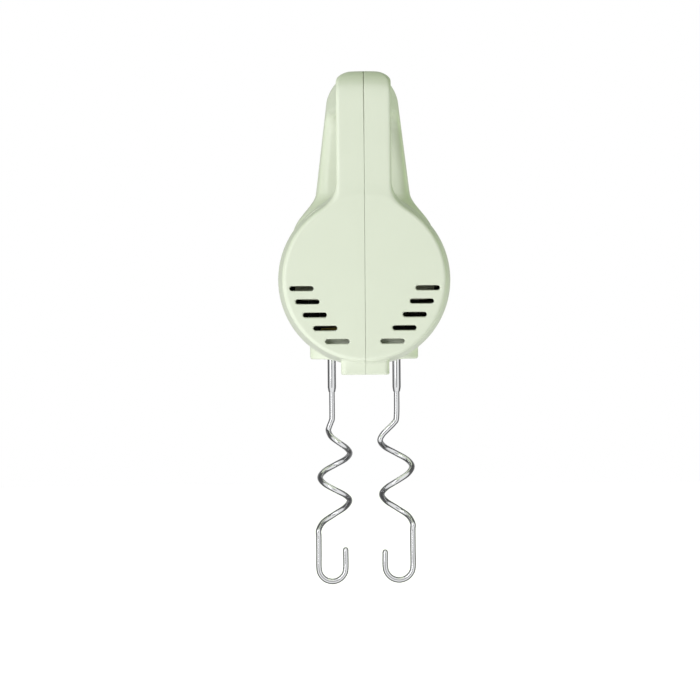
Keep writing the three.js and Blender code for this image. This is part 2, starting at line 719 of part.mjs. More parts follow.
function addSpindlesAndHooks() {
  const gear = spindleGear();
  const circlip = cut(tube(6.3, 8, 7.4, 8.3, { sides: 18 }), block([0, -1.5, 0], [9, 1.5, 20]));
  const sleeve = cut(
    join(
      turned([[0, -62.6], [2.15, -62.6], [SLEEVE_R, -60.4], [SLEEVE_R, 1], [1.8, 2.2], [0, 2.2]], { sides: 16 }),
      block([-4, -0.6, -34], [4, 0.6, -26]),
    ),
    rod(WIRE_R + 0.3, -70, -29.6, { sides: 16 }),
  );
  const wires = {
    left: wire(hookCurve(LEFT_TURNS, -1, 7.4, -174.1, -154), WIRE_R, 72),
    right: wire(hookCurve(RIGHT_TURNS, 1, -7.4, -173.5, -155.5), WIRE_R, 72),
  };
  for (const [name, side] of SIDES) {
    const spindle = group([side * HOOK_X, HOOK_Y, 0]);
    add(`spindle_gear_${name}`, nylon, gear, { to: spindle, at: [0, 0, MOTOR_Z] });
    add(`spindle_circlip_${name}`, steel, circlip, { to: spindle });
    add(`spindle_bush_${name}`, bronze, tube(6.3, 8.6, -37.6, -31, { sides: 18 }), { to: spindle });
    add(`thrust_washer_${name}`, steel, tube(6.3, 9.4, -30.6, -29.8, { sides: 18 }), { to: spindle });
    const hook = group([0, 0, 0], spindle);
    add(`hook_sleeve_${name}`, chrome, sleeve, { to: hook });
    add(`hook_wire_${name}`, chrome, wires[name], { to: hook });
  }
}

// ---------------------------------------------------------------- gear frame, electrics and leads

function addFrameAndElectrics() {
  const bearingHoles = rod(5.3, 100, 200, { sides: 16 })
    .rotate([-90, 0, 0])
    .translate([0, 0, MOTOR_Z]);
  const frame = cut(
    join(
      block([-30, 112, 4], [30, 166, 7]),
      block([-32, 112, -22], [32, 116, 7]),
      block([-12, 160.5, -10], [12, 164.5, 7]),
    ),
    bearingHoles,
    ...SIDES.map(([, side]) => rod(6.3, 0, 10, { x: side * HOOK_X, y: HOOK_Y })),
  );
  add("gear_frame", grey, frame);
  for (const [name, side] of SIDES) {
    const screw = join(rod(2.6, 0, 2, { sides: 12 }), rod(1.3, -26.5, 0.5, { sides: 8 }));
    add(`stator_screw_${name}`, steel, screw.rotate([90, 0, 0]), {
      at: [side * 28.2, 54, MOTOR_Z],
    });
  }
  add("suppressor_capacitor", mustard, block([-24, 30, -34], [-10, 46, -26]));
  const boardPiece = join(
    block([9, 151, 56], [10.6, 163, 78]),
    block([10, 152, 60], [14, 161, 72]),
  );
  add("speed_board", board, boardPiece);

  const leads = {
    inlet_lead_live: [liveWire, [
      [-1.5, 16, -40], [-3, 12, -34], [-6, 7, -22], [-6, 6.4, 10], [-6, 6.4, 60], [-6, 7.5, 92],
      [-7, 20, 100.2], [-7, 50, 99.2], [-7, 64.4, 101.5],
    ]],
    inlet_lead_neutral: [neutralWire, [
      [1.5, 16, -40], [3, 12, -34], [6, 7, -22], [6, 6.4, 10], [6, 6.4, 60], [6, 7.5, 92],
      [7, 20, 100.2], [7, 50, 99.2], [7, 64.4, 101.5],
    ]],
    motor_lead: [liveWire, [
      [-9, 112, 104.5], [-11, 121, 104.5], [-12, 128.4, 98], [-12, 128.4, 60], [-14, 117, 36],
      [-16, 100, 28], [-16, 95.5, 24],
    ]],
  };
  for (const [name, [material, route]] of Object.entries(leads)) {
    add(name, material, wire(through(route), 1, 20, 5));
  }
}

addCasing();
addControls();
addEjector();
addMotor();
addSpindlesAndHooks();
addFrameAndElectrics();

export default mixer;
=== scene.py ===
# Looks of the hand mixer: smooth casing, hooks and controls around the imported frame,
# with materials, light and camera.
# Lengths in the casing's formulas are millimetres, as in the CAD; meshes are written in metres.
import json
import math

import bpy
import numpy as np
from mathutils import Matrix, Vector


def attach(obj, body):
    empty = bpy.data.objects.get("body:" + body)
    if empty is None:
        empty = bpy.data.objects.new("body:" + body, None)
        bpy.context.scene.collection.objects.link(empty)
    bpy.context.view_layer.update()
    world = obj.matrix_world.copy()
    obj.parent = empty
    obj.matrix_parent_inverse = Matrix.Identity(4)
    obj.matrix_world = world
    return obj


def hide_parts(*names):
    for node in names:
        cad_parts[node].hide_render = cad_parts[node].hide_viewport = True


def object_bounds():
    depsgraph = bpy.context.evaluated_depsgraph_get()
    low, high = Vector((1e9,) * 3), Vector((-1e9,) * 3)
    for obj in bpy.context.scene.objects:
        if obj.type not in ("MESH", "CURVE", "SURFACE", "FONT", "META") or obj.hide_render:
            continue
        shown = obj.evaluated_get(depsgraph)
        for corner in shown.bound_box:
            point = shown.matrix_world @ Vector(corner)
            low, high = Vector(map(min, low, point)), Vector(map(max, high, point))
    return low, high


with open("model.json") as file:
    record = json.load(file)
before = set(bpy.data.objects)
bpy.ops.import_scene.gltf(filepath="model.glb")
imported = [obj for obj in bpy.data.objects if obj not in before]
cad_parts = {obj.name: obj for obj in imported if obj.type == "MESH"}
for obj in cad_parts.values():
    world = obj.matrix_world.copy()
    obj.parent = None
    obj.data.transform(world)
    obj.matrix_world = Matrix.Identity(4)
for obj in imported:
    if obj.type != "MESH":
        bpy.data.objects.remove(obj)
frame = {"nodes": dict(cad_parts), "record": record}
CAD_LOW, CAD_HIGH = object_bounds()
MM = 0.001

# ---------------------------------------------------------------- driving dimensions, in millimetres

LENGTH = 196
BARREL_R = 48
HEEL_R = 44.4
HEEL_EDGE = 2.2
SWELL_Y = 60
AXIS_RISE = 1.1
RISE_Y = 120
NOSE_POWER = 2.8
WALL = 2.4
PARTING_X = 0.2
SEAM = 0.3
TOP_REAR = 112.8
TOP_FRONT = 121.4
TOP_END_Y = 160
TOP_TILT = math.atan2(TOP_FRONT - TOP_REAR, TOP_END_Y)
COLUMN_HALF = 14.9
GRIP_FRONT_HALF = 20.6
LEG_FLARE = 0.122
SKIRT_REACH = 9
SKIRT_TOP_Z = 53
SKIRT_FULL_Z = 32
OPENING_CORNERS = [(25, 43), (118, 43), (124, 97), (27, 94.5)]
OPENING_R = 10
HOOK_X = 19
HOOK_Y = 140
SOCKET_Z = -43.6
FOOT_Z = -51.8
HOUSING_HALF = 31.4
HOUSING_Y = (112, 170)
FOOT_HALF = 13.1
FOOT_Y = (4, 28)
INLET_Y = 16
INLET_R = 5.3
SLIDER_V = 76
TURBO_V = 110
PANEL_HALF = 8.5
PANEL_V = (64.5, 120.5)
SLEEVE_R = 2.45
WIRE_R = 1.65
SLOT_X = [34.1, 30.9, 27, 21.4, 14.9]
SLOT_TOP_Z = -4.9
SLOT_PITCH = 7.18
SLOT_HALF = 6.45
SLOT_R = 1.27
SCREWS = [(17, 36), (34, -38), (104, -36), (176, -4), (157, 84), (50, 105)]
SCREW_SEAT_X = -10.3
POST_R = 4.2
SCREW_HEAD_R = 3.4
SCREW_SHANK_R = 1.8
VENT_Y = [93.5, 99.5, 105.5]
VENT_HALF = (16, 1.5)
SOCKET_R = 7
EJECT_HALF = (8.4, 6.4)
KNOB_SLOT_HALF = (2.6, 13.3)
TURBO_HOLE_R = 5.6

# The wire of each hook: where it reaches furthest sideways on its way down, as (x, z) from the hook's axis.
LEFT_TURNS = [(0, -77.5), (-2.2, -85.8), (10.2, -99), (-7.3, -113), (9.9, -126.6), (-8.3, -143.8)]
RIGHT_TURNS = [(-0.2, -77.6), (-9.9, -91.7), (8.7, -106.8), (-9.15, -123.1), (8.9, -140.3)]
TURN_R = 8.5

GRID_STEP = 0.7

# ---------------------------------------------------------------- distance fields


def smooth(start, end, v):
    t = np.clip((v - start) / (end - start), 0, 1)
    return t * t * (3 - 2 * t)


def round_max(a, b, r):
    """Where both a and b hold, with the edge between them rounded to radius r."""
    outer = np.hypot(np.maximum(a + r, 0), np.maximum(b + r, 0))
    return np.minimum(np.maximum(a, b), -r) + outer


def smooth_min(a, b, k):
    """Either a or b, with a fillet about k wide between them."""
    h = np.maximum(k - np.abs(a - b), 0) / k
    return np.minimum(a, b) - h * h * k / 4


def cut(body, tool, edge=0.35):
    return round_max(body, -tool, edge)


def rounded_rectangle(u, v, half_u, half_v, corner):
    qu = np.abs(u) - half_u + corner
    qv = np.abs(v) - half_v + corner
    return np.hypot(np.maximum(qu, 0), np.maximum(qv, 0)) + np.minimum(np.maximum(qu, qv), 0) - corner


def line(y, z, start, end):
    """Signed distance to the line from start to end in side view, positive on its right."""
    along = np.subtract(end, start)
    along = along / np.hypot(*along)
    return (y - start[0]) * along[1] - (z - start[1]) * along[0]


def barrel(x, y, z):
    """The motor barrel, swelling a little from the heel and closing in a rounded nose."""
    centre = AXIS_RISE * (1 - (1 - np.minimum(y, RISE_Y) / RISE_Y) ** 2)
    radius = np.hypot(x, z - centre)
    rear = radius - BARREL_R + (BARREL_R - HEEL_R) * (1 - np.minimum(y, SWELL_Y) / SWELL_Y) ** 2
    u = np.maximum((y - SWELL_Y) / (LENGTH - SWELL_Y), 0)
    over = (radius / BARREL_R) ** 2 + u**NOSE_POWER - 1
    slope = np.hypot(2 * radius / BARREL_R**2, NOSE_POWER * u ** (NOSE_POWER - 1) / (LENGTH - SWELL_Y))
    front = over / np.maximum(slope, 0.01)
    return np.where(y < SWELL_Y, rear, front)


def handle_half(y, z):
    """Half the handle's width. The front leg widens downwards into a skirt that meets the barrel."""
    leg = GRIP_FRONT_HALF + LEG_FLARE * np.maximum(0, 110 - z) - 0.03 * np.maximum(0, 32 - z) ** 2
    front = 1 - 0.55 * smooth(TOP_END_Y - 8, LENGTH - 8, y)
    side = COLUMN_HALF + (leg * front - COLUMN_HALF) * smooth(70, 140, y)
    depth = TOP_REAR + y * math.tan(TOP_TILT) - z
    forwards = smooth(80, 150, y)
    crown = (5 + 7 * forwards) * (1 - np.clip(depth / (6 + 8 * forwards), 0, 1)) ** 2
    skirt = SKIRT_REACH * smooth(SKIRT_TOP_Z, SKIRT_FULL_Z, z)
    return side - crown + skirt * smooth(182, 130, y) * smooth(98, 120, y)


def handle(x, y, z):
    """The handle loop down into the barrel, with its finger opening cut out."""
    top = line(y, z, (TOP_END_Y, TOP_FRONT), (0, TOP_REAR)) + 0.004 * x**2 * smooth(60, 30, y)
    front = line(y, z, (184, 30), (TOP_END_Y, TOP_FRONT))
    below = line(y, z, (172, -20), (184, 30))
    outline = np.maximum(round_max(round_max(round_max(top, -y, 15), front, 22), below, 8), -20 - z)
    sides = [line(y, z, OPENING_CORNERS[i], OPENING_CORNERS[(i + 1) % 4]) for i in range(4)]
    opening = sides[0]
    for side in sides[1:]:
        opening = round_max(opening, side, OPENING_R)
    profile = np.maximum(outline, -opening)
    edge = HEEL_EDGE + 2.6 * smooth(4, 40, y)
    return round_max(profile, np.abs(x) - handle_half(y, z), edge)


def upright_block(x, y, z, half_x, ends, corner, floor, ceiling, edge):
    """A block standing on its floor, with rounded corners and a rounded lower edge."""
    middle = (ends[0] + ends[1]) / 2
    plan = rounded_rectangle(x, y - middle, half_x, (ends[1] - ends[0]) / 2, corner)
    return np.maximum(round_max(plan, floor - z, edge), z - ceiling)


def seam_x(y, z, side):
    """Where a casing half's rim lies along the seam groove, which opens over the rear of the handle."""
    opened = 0.45 * smooth(70, 100, z) * smooth(40, 12, y)
    return PARTING_X + side * (SEAM / 2 + opened)


def shell_half(x, y, z, side):
    """The hollow casing with one side's cuts (-1 left, 1 right), not yet parted at the seam."""
    body = smooth_min(barrel(x, y, z), handle(x, y, z), 10 + 6 * smooth(10, 60, y))
    housing = upright_block(x, y, z, HOUSING_HALF, HOUSING_Y, 12, SOCKET_Z, -8, 1.4)
    foot = upright_block(x, y, z, FOOT_HALF, FOOT_Y, 3, FOOT_Z, -34, 0.9)
    body = smooth_min(smooth_min(body, housing, 5), foot, 1.2)
    body = round_max(body, -y, HEEL_EDGE)

    shell = np.maximum(body, -(body + WALL))
    rib = np.maximum(np.maximum(np.abs(np.abs(x) - 15) - 7, np.abs(y - 7) - 1), z + 29)
    shell = np.minimum(shell, np.maximum(rib, body))
    for sx in (-HOOK_X, HOOK_X):
        boss = np.maximum(np.hypot(x - sx, y - HOOK_Y) - 11, np.maximum(z + 31, SOCKET_Z + 1 - z))
        shell = np.minimum(shell, boss)
    for sy, sz in SCREWS:
        post = np.hypot(y - sy, z - sz) - POST_R
        shell = np.minimum(shell, np.maximum(post, body))

    for sx in (-HOOK_X, HOOK_X):
        shell = cut(shell, np.maximum(np.hypot(x - sx, y - HOOK_Y) - SOCKET_R, z + 29))
        shell = cut(shell, np.maximum(np.hypot(x - sx, y - HOOK_Y) - 8.9, np.abs(z + 33.5) - 4.9), 0.1)
    for i, slot_x in enumerate(SLOT_X):
        down = z - SLOT_TOP_Z + SLOT_PITCH * i
        across = rounded_rectangle(np.abs(x) - slot_x, down, SLOT_HALF, SLOT_R, SLOT_R)
        shell = cut(shell, np.maximum(across, y - 4))
    for vent_y in VENT_Y:
        vent = rounded_rectangle(x, y - vent_y, *VENT_HALF, 0.7)
        shell = cut(shell, np.maximum(vent, z + 30))
    shell = cut(shell, np.maximum(np.hypot(x, y - INLET_Y) - INLET_R, z + 30))
    shell = cut(shell, np.maximum(rounded_rectangle(x, y - HOOK_Y, *EJECT_HALF, 2.6), 100 - z))

    along = y * math.cos(TOP_TILT) + (z - TOP_REAR) * math.sin(TOP_TILT)
    out = -y * math.sin(TOP_TILT) + (z - TOP_REAR) * math.cos(TOP_TILT)
    panel_middle, panel_reach = sum(PANEL_V) / 2, (PANEL_V[1] - PANEL_V[0]) / 2
    recess = rounded_rectangle(x, along - panel_middle, PANEL_HALF + 0.3, panel_reach + 0.3, 4.3)
    shell = cut(shell, np.maximum(recess, -1.2 - out), 0.2)
    slot = rounded_rectangle(x, along - SLIDER_V - 10, *KNOB_SLOT_HALF, 0.5)
    shell = cut(shell, np.maximum(slot, -5 - out))
    shell = cut(shell, np.maximum(np.hypot(x, along - TURBO_V) - TURBO_HOLE_R, -5 - out))
    if side < 0:
        for sy, sz in SCREWS:
            bore = np.hypot(y - sy, z - sz) - SCREW_HEAD_R
            shell = cut(shell, np.maximum(bore, x - SCREW_SEAT_X))
            shell = cut(shell, np.hypot(y - sy, z - sz) - SCREW_SHANK_R, 0.1)
    return shell


def casing(x, y, z, side):
    """The casing half on one side."""
    return np.maximum(shell_half(x, y, z, side), side * (PARTING_X - x))


def net(field, low, high, step):
    """A closed surface where the field is zero: points in millimetres, faces of four, the cell of each point,
    and which points the surface passes sideways to X."""
    axes = [np.arange(a, b + step, step) for a, b in zip(low, high)]
    grid = field(axes[0][:, None, None], axes[1][None, :, None], axes[2][None, None, :]).astype(np.float32)
    inside = grid < 0
    cells = [n - 1 for n in grid.shape]
    total = np.zeros(cells + [3], np.float32)
    count = np.zeros(cells, np.float32)
    sideways = np.zeros(cells, bool)
    corner_steps = [(0, 0), (0, 1), (1, 0), (1, 1)]
    crossings = []
    for axis in range(3):
        near = [slice(None)] * 3
        far = [slice(None)] * 3
        near[axis] = slice(0, -1)
        far[axis] = slice(1, None)
        a, b = grid[tuple(near)], grid[tuple(far)]
        crossed = inside[tuple(near)] != inside[tuple(far)]
        where = np.argwhere(crossed)
        part = (a[crossed] / (a[crossed] - b[crossed])).astype(np.float32)
        flip = inside[tuple(near)][crossed]
        crossings.append((axis, where, flip))
        others = [k for k in range(3) if k != axis]
        for du, dv in corner_steps:
            cell = where.copy()
            cell[:, others[0]] -= du
            cell[:, others[1]] -= dv
            fits = np.all((cell >= 0) & (cell < cells), axis=1)
            point = where.astype(np.float32)
            point[:, axis] += part
            index = tuple(cell[fits].T)
            np.add.at(total, index, point[fits])
            np.add.at(count, index, 1)
            if axis:
                sideways[index] = True
    used = count > 0
    number = np.full(cells, -1, np.int64)
    number[used] = np.arange(used.sum())
    points = total[used] / count[used][:, None] * step + np.array([a[0] for a in axes])
    faces = []
    for axis, where, flip in crossings:
        u, v = (axis + 1) % 3, (axis + 2) % 3
        quad = []
        for du, dv in [(0, 0), (1, 0), (1, 1), (0, 1)]:
            cell = where.copy()
            cell[:, u] -= du
            cell[:, v] -= dv
            quad.append(number[tuple(np.maximum(cell, 0).T)])
        quad = np.stack(quad, axis=1)
        quad[~flip] = quad[~flip][:, ::-1]
        faces.append(quad)
    return points, np.concatenate(faces), np.argwhere(used), sideways[used]


def slope_at(field, points, here):
    reach = 0.05
    return np.stack([field(*(points + reach * e).T) - here for e in np.eye(3)], axis=1) / reach


def settle(field, points, rounds=2):
    """Moves points onto the zero of the field. Returns them with the field's direction there."""
    for _ in range(rounds + 1):
        here = field(*points.T)
        slope = slope_at(field, points, here)
        length = np.maximum(np.linalg.norm(slope, axis=1), 0.2)
        step = np.clip(here / length, -0.3, 0.3)
        points = points - slope / length[:, None] * step[:, None]
    return points, slope / length[:, None]


def settle_on_seam(side, points, rounds=3):
    """Moves points onto the rim where the shell meets the seam groove.
    Returns them with the shell's direction."""
    def shell(x, y, z):
        return shell_half(x, y, z, side)
    points = points.copy()
    for _ in range(rounds + 1):
        points[:, 0] = seam_x(points[:, 1], points[:, 2], side)
        here = shell(*points.T)
        slope = slope_at(shell, points, here)
        across = np.maximum(np.hypot(slope[:, 1], slope[:, 2]), 0.2)
        step = np.clip(here / across, -0.4, 0.4)
        points[:, 1:] -= slope[:, 1:] / across[:, None] * step[:, None]
    return points, slope / np.maximum(np.linalg.norm(slope, axis=1), 0.2)[:, None]


# ---------------------------------------------------------------- meshes


def piece(name, points, faces, normals=None):
    """A smooth mesh object from points in millimetres."""
    mesh = bpy.data.meshes.new(name)
    mesh.from_pydata((np.asarray(points) * MM).tolist(), [], np.asarray(faces).tolist() if len(faces) else [])
    mesh.validate()
    mesh.polygons.foreach_set("use_smooth", [True] * len(mesh.polygons))
    if normals is not None:
        mesh.normals_split_custom_set_from_vertices(normals.tolist())
    made = bpy.data.objects.new(name, mesh)
    bpy.context.scene.collection.objects.link(made)
    return made


def rings_piece(name, rings, sharp_angle=None):
    """A closed skin over rings of equal count, with a flat cap of one face at each end."""
    rings = np.asarray(rings, float)
    layers, count, _ = rings.shape
    faces = [
        [k * count + i, k * count + (i + 1) % count, (k + 1) * count + (i + 1) % count, (k + 1) * count + i]
        for k in range(layers - 1)
        for i in range(count)
    ]
    mesh = bpy.data.meshes.new(name)
    caps = [list(range(count))[::-1], list(range((layers - 1) * count, layers * count))]
    mesh.from_pydata((rings.reshape(-1, 3) * MM).tolist(), [], faces + caps)
    mesh.validate()
    made = bpy.data.objects.new(name, mesh)
    bpy.context.scene.collection.objects.link(made)
    mesh.polygons.foreach_set("use_smooth", [True] * len(mesh.polygons))
    mesh.set_sharp_from_angle(angle=math.radians(sharp_angle or 40))
    return made


def tube(name, path, radius, sides=16):
    """A round wire along a path, with rounded ends."""
    path = np.asarray(path, float)
    tangents = np.gradient(path, axis=0)
    tangents /= np.linalg.norm(tangents, axis=1)[:, None]
    side = np.cross(tangents[0], [0.3, 0.9, 0.1])
    rings = []
    turns = np.linspace(0, 2 * math.pi, sides, endpoint=False)

    def ring(centre, tangent, r):
        other = np.cross(tangent, side)
        return centre + r * (np.cos(turns)[:, None] * side + np.sin(turns)[:, None] * other)

    for i, (point, tangent) in enumerate(zip(path, tangents)):
        side = side - tangent * np.dot(side, tangent)
        side = side / np.linalg.norm(side)
        if i == 0:
            for a in (80, 60, 35):
                bend = math.radians(a)
                centre = point - tangent * radius * math.sin(bend)
                rings.append(ring(centre, tangent, radius * math.cos(bend)))
        rings.append(ring(point, tangent, radius))
    for a in (35, 60, 80):
        bend = math.radians(a)
        centre = path[-1] + tangents[-1] * radius * math.sin(bend)
        rings.append(ring(centre, tangents[-1], radius * math.cos(bend)))
    return rings_piece(name, rings, 60)


def turned(name, profile, centre=(0, 0), sides=48):
    """A solid of revolution about an upright axis, from [radius, height] points."""
    turns = np.linspace(0, 2 * math.pi, sides, endpoint=False)
    rings = [
        [(centre[0] + r * math.cos(a), centre[1] + r * math.sin(a), h) for a in turns]
        for r, h in profile
    ]
    return rings_piece(name, rings)


def slab_rings(half_x, half_y, corner, layers, per_corner=8):
    """Rounded rectangles stacked by [height, inset]."""
    rings = []
    for height, inset in layers:
        ring = []
        for quarter, (sx, sy) in enumerate([(1, -1), (1, 1), (-1, 1), (-1, -1)]):
            for k in range(per_corner + 1):
                a = math.radians(90 * (quarter - 1) + 90 * k / per_corner)
                r = max(corner - inset, 0.15)
                ring.append((
                    sx * (half_x - inset - r) + r * math.cos(a),
                    sy * (half_y - inset - r) + r * math.sin(a),
                    height,
                ))
        rings.append(ring)
    return rings


def rounded_layers(bottom, top, edge, steps=5):
    """Heights and insets of a slab whose upper edge is rounded."""
    curve = [math.radians(90 * k / steps) for k in range(steps + 1)]
    upper = [(top - edge + edge * math.sin(a), edge * (1 - math.cos(a))) for a in curve]
    return [(bottom, 0.3), (bottom + 0.3, 0), *upper]


def on_top(made, along):
    """Places a piece made about the handle-top frame's origin at a distance along the top line."""
    made.rotation_euler = (TOP_TILT, 0, 0)
    made.location = (0, along * math.cos(TOP_TILT) * MM, (TOP_REAR + along * math.sin(TOP_TILT)) * MM)
    return made


def merged(name, *parts):
    """The parts as one piece."""
    bpy.context.view_layer.update()
    points, faces, start = [], [], 0
    for part in parts:
        points += [part.matrix_world @ v.co for v in part.data.vertices]
        faces += [[start + i for i in f.vertices] for f in part.data.polygons]
        start = len(points)
        bpy.data.objects.remove(part)
    mesh = bpy.data.meshes.new(name)
    mesh.from_pydata(points, [], faces)
    mesh.polygons.foreach_set("use_smooth", [True] * len(mesh.polygons))
    mesh.set_sharp_from_angle(angle=math.radians(40))
    made = bpy.data.objects.new(name, mesh)
    bpy.context.scene.collection.objects.link(made)
    return made


def smooth_path(points, per_span=10):
    """A Catmull-Rom curve through the points."""
    p = np.asarray(points, float)
    p = np.vstack([2 * p[0] - p[1], p, 2 * p[-1] - p[-2]])
    path = []
    for i in range(1, len(p) - 2):
        for k in range(per_span):
            t = k / per_span
            path.append(0.5 * (
                2 * p[i]
                + (p[i + 1] - p[i - 1]) * t
                + (2 * p[i - 1] - 5 * p[i] + 4 * p[i + 1] - p[i + 2]) * t**2
                + (3 * p[i] - p[i - 1] - 3 * p[i + 1] + p[i + 2]) * t**3
            ))
    return np.array(path + [p[-2]])


# ---------------------------------------------------------------- materials


def nodes_of(name):
    """A new material with its tree, its shader and the place on the object that its noise reads."""
    material = bpy.data.materials.new(name)
    material.use_nodes = True
    tree = material.node_tree
    shader = tree.nodes["Principled BSDF"]
    coordinates = tree.nodes.new("ShaderNodeTexCoord")
    return material, tree, shader, coordinates.outputs["Object"]


def noise(tree, where, scale, detail=3, stretch=None):
    if stretch:
        mapping = tree.nodes.new("ShaderNodeMapping")
        mapping.inputs["Scale"].default_value = stretch
        tree.links.new(where, mapping.inputs["Vector"])
        where = mapping.outputs["Vector"]
    made = tree.nodes.new("ShaderNodeTexNoise")
    made.inputs["Scale"].default_value = scale
    made.inputs["Detail"].default_value = detail
    tree.links.new(where, made.inputs["Vector"])
    return made.outputs["Fac"]


def between(tree, value, low, high, from_low=0.3, from_high=0.7):
    """The value remapped to a number between low and high."""
    made = tree.nodes.new("ShaderNodeMapRange")
    for key, number in [("From Min", from_low), ("From Max", from_high), ("To Min", low), ("To Max", high)]:
        made.inputs[key].default_value = number
    tree.links.new(value, made.inputs["Value"])
    return made.outputs["Result"]


def mixed(tree, factor, first, second):
    """A colour between two, where each is a colour or a socket."""
    made = tree.nodes.new("ShaderNodeMix")
    made.data_type = "RGBA"
    tree.links.new(factor, made.inputs["Factor"])
    for socket, value in [(made.inputs[6], first), (made.inputs[7], second)]:
        if isinstance(value, bpy.types.NodeSocket):
            tree.links.new(value, socket)
        else:
            socket.default_value = (*value, 1)
    return made.outputs[2]


def shade(colour, factor):
    return tuple(min(1, c * factor) for c in colour)


def bumped(tree, shader, height, strength, distance):
    bump = tree.nodes.new("ShaderNodeBump")
    bump.inputs["Strength"].default_value = strength
    bump.inputs["Distance"].default_value = distance
    tree.links.new(height, bump.inputs["Height"])
    tree.links.new(bump.outputs["Normal"], shader.inputs["Normal"])


def worn_edges(tree, low=0.55, high=0.75):
    """Where the surface bends outwards."""
    geometry = tree.nodes.new("ShaderNodeNewGeometry")
    return between(tree, geometry.outputs["Pointiness"], 0, 1, low, high)


def plastic(name, colour, roughness, coat=0.0, grain=0.04, grain_scale=1500, wear=0.35):
    """Moulded plastic: faint mottling, paler rubbed edges, uneven gloss and a fine moulded skin."""
    material, tree, shader, where = nodes_of(name)
    mottling = mixed(tree, noise(tree, where, 35), shade(colour, 0.98), shade(colour, 1.015))
    edge = tree.nodes.new("ShaderNodeMath")
    edge.operation = "MULTIPLY"
    edge.inputs[1].default_value = wear
    tree.links.new(worn_edges(tree), edge.inputs[0])
    rubbed = mixed(tree, edge.outputs[0], mottling, shade(colour, 1.18))
    tree.links.new(rubbed, shader.inputs["Base Color"])
    tree.links.new(between(tree, noise(tree, where, 120, 4), roughness * 0.85, roughness * 1.2),
                   shader.inputs["Roughness"])
    shader.inputs["IOR"].default_value = 1.49
    shader.inputs["Coat Weight"].default_value = coat
    shader.inputs["Coat Roughness"].default_value = 0.08
    bumped(tree, shader, noise(tree, where, grain_scale, 2), grain, 0.0001)
    return material


def metal(name, colour, roughness, stretch=(1, 1, 1), grain=0.05, dirt=0.85):
    """Bare metal with directional polishing marks and duller patches."""
    material, tree, shader, where = nodes_of(name)
    patches = mixed(tree, noise(tree, where, 60, 4), shade(colour, dirt), colour)
    bright = mixed(tree, worn_edges(tree), patches, shade(colour, 1.12))
    tree.links.new(bright, shader.inputs["Base Color"])
    marks = noise(tree, where, 900, 4, stretch)
    tree.links.new(between(tree, marks, roughness * 0.7, roughness * 1.5), shader.inputs["Roughness"])
    shader.inputs["Metallic"].default_value = 1
    bumped(tree, shader, marks, grain, 0.00005)
    return material


def banded(name, colour, gap, roughness, spacing, axis, metallic):
    """Stacked sheets or wound wire: fine bands along one axis."""
    material, tree, shader, where = nodes_of(name)
    wave = tree.nodes.new("ShaderNodeTexWave")
    wave.bands_direction = axis
    wave.inputs["Scale"].default_value = 0.314 / spacing
    wave.inputs["Distortion"].default_value = 0.6
    wave.inputs["Detail"].default_value = 2
    wave.inputs["Detail Scale"].default_value = 3
    tree.links.new(where, wave.inputs["Vector"])
    lines = mixed(tree, wave.outputs["Fac"], gap, colour)
    stained = mixed(tree, between(tree, noise(tree, where, 90), 0, 0.35), lines, shade(colour, 0.6))
    tree.links.new(stained, shader.inputs["Base Color"])
    tree.links.new(between(tree, noise(tree, where, 400), roughness * 0.8, roughness * 1.3),
                   shader.inputs["Roughness"])
    shader.inputs["Metallic"].default_value = metallic
    bumped(tree, shader, wave.outputs["Fac"], 0.5, 0.0002)
    return material


MINT = (0.715, 0.74, 0.66)
MATERIALS = {
    "mint_casing": plastic("mint_casing", MINT, 0.38, coat=0.3, grain=0.015, wear=0.06),
    "white_panel": plastic("white_panel", (0.78, 0.79, 0.75), 0.42, grain=0.08, grain_scale=2200),
    "grey_controls": plastic("grey_controls", (0.23, 0.25, 0.23), 0.45, grain=0.12, grain_scale=2500),
    "nylon": plastic("nylon", (0.74, 0.71, 0.61), 0.5, grain=0.08),
    "black_plastic": plastic("black_plastic", (0.02, 0.02, 0.02), 0.45, grain=0.1),
    "steel": metal("steel", (0.55, 0.56, 0.57), 0.32, (1, 0.05, 1)),
    "lamination": banded("lamination", (0.3, 0.31, 0.32), (0.06, 0.06, 0.06), 0.45, 0.0007, "Y", 1),
    "chrome_hooks": metal("chrome_hooks", (0.84, 0.85, 0.86), 0.07, (1, 1, 0.15), 0.0015, 0.97),
    "copper": banded("copper", (0.62, 0.22, 0.07), (0.14, 0.04, 0.015), 0.3, 0.0006, "Z", 1),
    "bronze": metal("bronze", (0.5, 0.33, 0.14), 0.4),
    "carbon": plastic("carbon", (0.03, 0.03, 0.03), 0.6, grain=0.3),
    "rubber": plastic("rubber", (0.022, 0.024, 0.022), 0.7, grain=0.3, grain_scale=1200),
    "live_lead": plastic("live_lead", (0.15, 0.06, 0.03), 0.45),
    "neutral_lead": plastic("neutral_lead", (0.05, 0.13, 0.4), 0.45),
    "board": plastic("board", (0.03, 0.15, 0.05), 0.4, grain=0.2),
    "capacitor": plastic("capacitor", (0.55, 0.4, 0.09), 0.35),
}


def dress(made, slot, body, *replaced):
    """Gives a new piece its material, its body, and the CAD nodes it stands for."""
    made.data.materials.clear()
    made.data.materials.append(MATERIALS[slot])
    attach(made, body)
    if replaced:
        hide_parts(*replaced)


def dress_cad_nodes():
    for entry in frame["record"]["subparts"]:
        node = frame["nodes"][entry["node"]]
        node.data.materials.clear()
        node.data.materials.append(MATERIALS[entry["material_slot"]])


# ---------------------------------------------------------------- pieces


